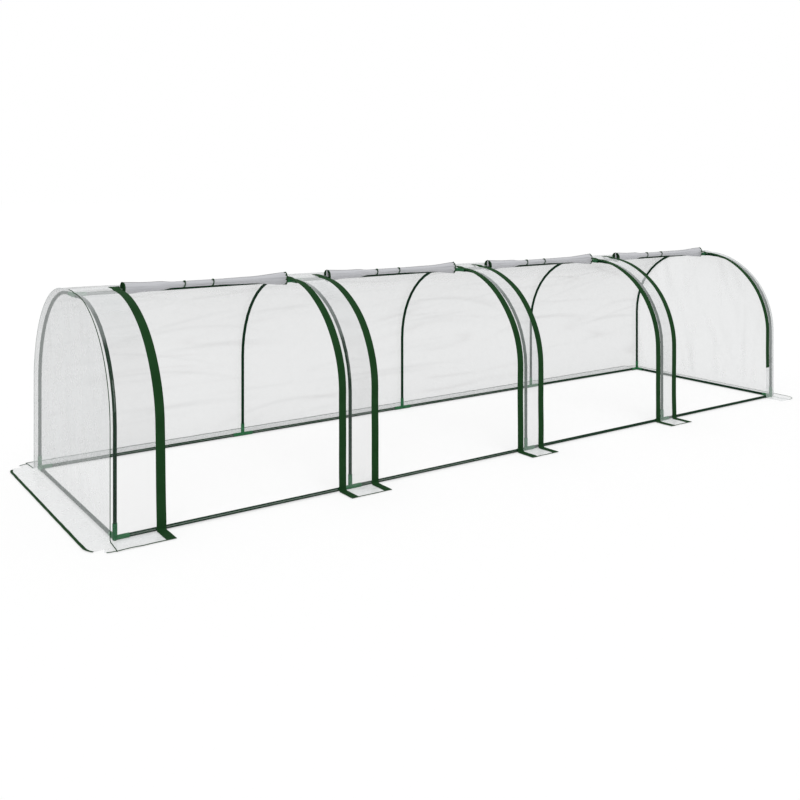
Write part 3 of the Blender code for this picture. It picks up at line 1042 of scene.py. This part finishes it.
def roll_radius(x, number):
    """The rolled door's outer radius along it: wide at both ends and drawn in where it is tied."""
    low, _, first, second = roll_span(number)
    start, stop = HOOP_X[number], HOOP_X[number + 1]
    narrow = smooth(x, start + SHOULDER_FROM, start + SHOULDER_TO)
    radius = WAIST_R + (SHOULDER_R - WAIST_R) * (1 - narrow)
    radius += (MOUTH_R - SHOULDER_R) * (1 - smooth(x, low - 0.01, start + MOUTH_TO))
    radius += RIGHT_GAIN * smooth(x, second + 0.03, second + 0.12)
    radius += (FLARE_R - WAIST_R - RIGHT_GAIN) * smooth(x, stop - FLARE_FROM, stop - FLARE_TO)
    for tie in (first, second):
        radius -= (WAIST_R - TIE_R) * np.exp(-(((x - tie) / PINCH) ** 2))
    from_middle = smooth(np.abs(x - (first + second) / 2), 0.05, 0.12)
    return radius + UNEVEN * np.sin(31 * x + 2 * number) * from_middle


def roll_centre(x, number):
    """(y, z) of the roll's middle: close over the ridge tube where it is tied."""
    share = np.clip((roll_radius(x, number) - WAIST_R) / (MOUTH_R - WAIST_R), 0.0, 1.0)[..., None]
    return WAIST_CENTRE * (1 - share) + MOUTH_CENTRE * share


def roll_points(number, x, angles, grow=0.0):
    """Points of the wound sheet at each angle, from its inner end outwards, and each x.

    Its ends are hollow, and its right end is flattened from front to back.
    """
    total = 2 * math.pi * TURNS
    turn = angles[:, None]
    share = HOLLOW + (1 - HOLLOW) * (turn / total)
    x = np.atleast_2d(x)
    low, high, first, second = roll_span(number)
    stop = HOOP_X[number + 1]
    gathered = np.exp(-(((x - first) / GATHER) ** 2)) + np.exp(-(((x - second) / GATHER) ** 2))
    gathered = gathered + 0.35 + 3.0 * smooth(x, high - 0.07, high)
    gathered += 0.8 * (1 - smooth(x, low, low + 0.05))
    pleats = np.sin(9 * turn + 2.1 * np.sin(turn * 2 + number))
    pleats = pleats + 0.8 * np.sin(14 * turn + 12 * x + number)
    radius = roll_radius(x, number) * share + grow + PLEAT * pleats * gathered * share**2
    centre = roll_centre(x, number)
    turned = math.pi / 2 + turn - total
    flat = 1 - (1 - FLARE_FLAT) * smooth(x, stop - FLARE_FROM, stop - FLARE_TO)
    y = centre[..., 0] + radius * np.cos(turned) * flat
    z = centre[..., 1] + radius * np.sin(turned)
    inward = 1 - smooth(x, low, low + 0.06) - 0.5 * smooth(x, high - 0.06, high)
    return np.stack([x + END_RECESS * (1 - share) * inward, y, z], 2)


def roll_angles(first_turn, last_turn):
    """Angles along the wound sheet, close together on its outer turns."""
    fine_from = max(first_turn, last_turn - FINE_TURNS)
    coarse = np.arange(first_turn, fine_from, 1 / COARSE_STEPS)
    fine = np.linspace(fine_from, last_turn, FINE_STEPS + 1)
    return 2 * math.pi * np.concatenate([coarse, fine])


def thin_with_door(obj):
    """Gives a piece of the roll its own copy of its mesh."""
    hinge = np.array([BEND.y, BEND.z])
    away = MOUTH_CENTRE - hinge
    away /= np.linalg.norm(away)
    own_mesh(obj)


def make_core(number, low, body):
    """The film's inner end, which stands across the hollow of the roll."""
    centre = roll_centre(np.array([low]), number)[0]
    rise = np.linspace(-0.2, 0.93, CORE_ROWS) * MOUTH_R
    points = np.zeros((CORE_ROWS, len(CORE_X), 3))
    points[:, :, 0] = low + CORE_X
    points[:, :, 1] = centre[0] + CORE_BOW * np.sin(rise / MOUTH_R * 4)[:, None]
    points[:, :, 2] = (centre[1] + rise)[:, None]
    core = grid(door_name(number, "core"), points)
    thicken(core, CORE_THICK)
    return finish_piece(core, ROLLED, body)


def make_roll(number):
    """One rolled door as the sheet it is, wound up, with its bound ends."""
    low, high, first, second = roll_span(number)
    body = door_name(number, "rolled")
    near = [tie + offset for tie in (first, second) for offset in TIE_COLUMNS]
    left_part = steps(low, first, OPEN_END_STEP)
    x = np.concatenate([left_part, steps(first, second, ROLL_STEP), steps(second, high, ROLL_STEP), near])
    x = np.unique(np.round(x, 5))
    made = grid(door_name(number, "rolled_film"), roll_points(number, x, roll_angles(0.0, TURNS)))
    finish_piece(made, ROLLED, body)
    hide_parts(door_name(number, "roll"))
    left_x = low + LEFT_BOUND_X
    left_points = roll_points(number, left_x, roll_angles(0.5, TURNS), LEFT_BOUND_OUT)
    left = grid(door_name(number, "edge_left"), left_points)
    thicken(left, LEFT_BOUND_THICK)
    turns = roll_angles(TURNS - RIGHT_BOUND_TURNS, TURNS)
    pointed = np.maximum(0.0, np.sin(8.5 * turns + number)) ** 3
    end = np.full(len(turns), high)
    inner = end - RIGHT_BOUND_FROM - RIGHT_BOUND_POINT * pointed
    right_x = np.stack([inner, end, end + RIGHT_BOUND_TO], 1)
    right = grid(door_name(number, "edge_right"), roll_points(number, right_x, turns, RIGHT_BOUND_OUT))
    thicken(right, RIGHT_BOUND_THICK)
    pieces = [left, right]
    if number > 0:
        pieces.append(make_core(number, low, body))
    for edge in (left, right):
        finish_piece(edge, TAPE_CLOTH, body)
    for piece in [made] + pieces:
        thin_with_door(piece)
    return made, pieces


def fall_rows(start, end, count):
    """Rest rows of a falling film piece, spaced so that they come out even when the door is closed."""
    weights = np.linspace(0.0, 1.0, count)
    shares = 0.5 - np.sin(np.arcsin(1 - 2 * weights) / 3)
    return np.array(start)[None, :] * (1 - shares[:, None]) + np.array(end)[None, :] * shares[:, None]


def make_fall(number):
    """The door's film between the ridge seam and its roll, in two pieces at rest."""
    low = STRIP_HIGH[number] - FALL_UNDER
    high = roll_span(number)[1] - FALL_SHORT
    x = np.concatenate([[low], steps(low + FALL_HEM, high - FALL_HEM, FALL_STEP), [high]])
    seam = (DOOR_SEAM_Y, RIDGE_Z + SEAM_OFF)
    hanging = door_name(number, "hanging")
    made = []
    for word, start, end, first, second, count in (
        ("upper", seam, FALL_TURN, "greenhouse", hanging, 64),
        ("lower", FALL_TURN, FALL_FOOT, hanging, door_name(number, "rolled"), 28),
    ):
        rows = fall_rows(start, end, count)
        points = np.zeros((count, len(x), 3))
        points[:, :, 0] = x[None, :]
        points[:, :, 1:] = rows[:, None, :]
        along = np.linspace(0.0, FALL_UV, count)
        fall = grid(door_name(number, f"film_{word}"), points, None, x, along)
        fall.data.materials.append(FILM)
        fall.data.materials.append(TAPE_CLOTH)
        for face in fall.data.polygons:
            across = face.center.x
            face.material_index = 1 if across < low + FALL_HEM or across > high - FALL_HEM else 0
        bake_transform(fall)
        made.append(fall)
    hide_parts(door_name(number, "film"))
    return made


def make_tie(number, x, word):
    """A string tied round the roll, with its knot on the roll's front."""
    radius = float(roll_radius(np.array([x]), number)[0]) + TIE_STRING_R * 0.5
    y, z = roll_centre(np.array([x]), number)[0]
    path = []
    for angle in np.linspace(0.0, 2 * math.pi, TIE_POINTS, endpoint=False):
        lean = TIE_LEAN * math.sin(angle - 0.5)
        path.append((x + lean, y + radius * math.cos(angle), z + radius * math.sin(angle)))
    bead(f"tie_{number + 1}_{word}", path, TIE_STRING_R, TAPE_CLOTH, closed=True)
    knot_path = []
    reach = radius + KNOT_OUT
    for turn in np.linspace(0.0, 2.0 * math.pi * KNOT_TURNS, KNOT_POINTS):
        around = KNOT_AT + KNOT_SPREAD * math.sin(turn)
        knot_y = y + reach * math.cos(around) * (1 + 0.04 * math.cos(2 * turn))
        knot_path.append((x + KNOT_R * math.cos(turn), knot_y, z + reach * math.sin(around)))
    bead(f"knot_{number + 1}_{word}", knot_path, TIE_STRING_R * 0.75, TAPE_CLOTH)


def make_stage():
    """A plain pale floor under the object."""
    mesh = bpy.data.meshes.new("floor")
    low, high = -FLOOR_REACH, FLOOR_REACH
    corners = [(low, low, 0.0), (high, low, 0.0), (high, high, 0.0), (low, high, 0.0)]
    mesh.from_pydata(corners, [], [(0, 1, 2, 3)])
    floor = add_object("floor", mesh)
    floor.location.z = -FLOOR_DROP
    material, shader = new_material("floor", FLOOR_TONE, 0.9, 0.0)
    seen = seen_straight(shader)
    feed(shader, "Base Color", colour_between(seen, FLOOR_TONE, WHITE))
    white = new_node(shader, "Emission")
    shown = maths("MULTIPLY", seen, FLOOR_WHITE)
    output = material.node_tree.nodes["Material Output"]
    mix_shaders(shown, shader.outputs["BSDF"], white.outputs["Emission"], output)
    mesh.materials.append(material)


def make_world():
    """Soft even light from all round. What the camera sees of it is white."""
    world = bpy.data.worlds.new("studio")
    bpy.context.scene.world = world
    world.use_nodes = True
    nodes = world.node_tree.nodes
    light = nodes["Background"]
    seen = new_node(light, "Background")
    for background, strength in ((light, SKY_LIGHT), (seen, 1.0)):
        feed(background, "Color", WHITE)
        feed(background, "Strength", strength)
    both = light.outputs["Background"], seen.outputs["Background"]
    mix_shaders(seen_straight(light), *both, nodes["World Output"])


def make_sun(name, strength, towards, width):
    """A distant lamp that shines in one direction. Its width is in degrees."""
    data = bpy.data.lights.new(name, "SUN")
    data.energy = strength
    data.angle = math.radians(width)
    lamp = add_object(name, data)
    lamp.rotation_euler = Vector(towards).to_track_quat("-Z", "Y").to_euler()
    return lamp


def make_glint():
    """A lamp on the right that only gives the frame its highlights."""
    lamp = make_sun("glint", GLINT_LIGHT, GLINT_TOWARDS, GLINT_WIDTH)
    lamp.visible_diffuse = False
    lamp.visible_transmission = False
    lit = bpy.data.collections.new("frame_in_glint")
    for name, node in frame["nodes"].items():
        if name.startswith(TUBES):
            lit.objects.link(node)
    lamp.light_linking.receiver_collection = lit


def make_camera():
    """The photograph's level camera, moved up its picture by a lens shift."""
    data = bpy.data.cameras.new("camera")
    data.sensor_width = SENSOR
    data.lens = FOCAL * SENSOR / IMAGE
    data.shift_y = -(IMAGE / 2 - HORIZON) / IMAGE
    camera = add_object("camera", data)
    camera.location = CAMERA_AT
    camera.rotation_euler = (math.pi / 2, 0.0, CAMERA_YAW - math.pi / 2)
    bpy.context.scene.camera = camera


make_camera()
make_stage()
make_world()
make_sun("key", KEY_LIGHT, KEY_TOWARDS, KEY_WIDTH)
make_glint()
finish_frame()

cover, cover_area = make_cover()
cover_trims = make_bindings() + make_seams()
left_end = make_end(-1, "film_end_left")
right_end = make_end(1, "film_end_right")
for end, hems, hoop in (
    (left_end, make_left_hem(), "hoop_1_front"),
    (right_end, make_right_hem(), "hoop_5_front"),
):
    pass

for door in range(DOOR_COUNT):
    roll, ends = make_roll(door)
    falls = make_fall(door)
    low, high, first, second = roll_span(door)
    make_tie(door, first, "left")
    make_tie(door, second, "right")

bpy.context.scene.view_settings.view_transform = "Standard"
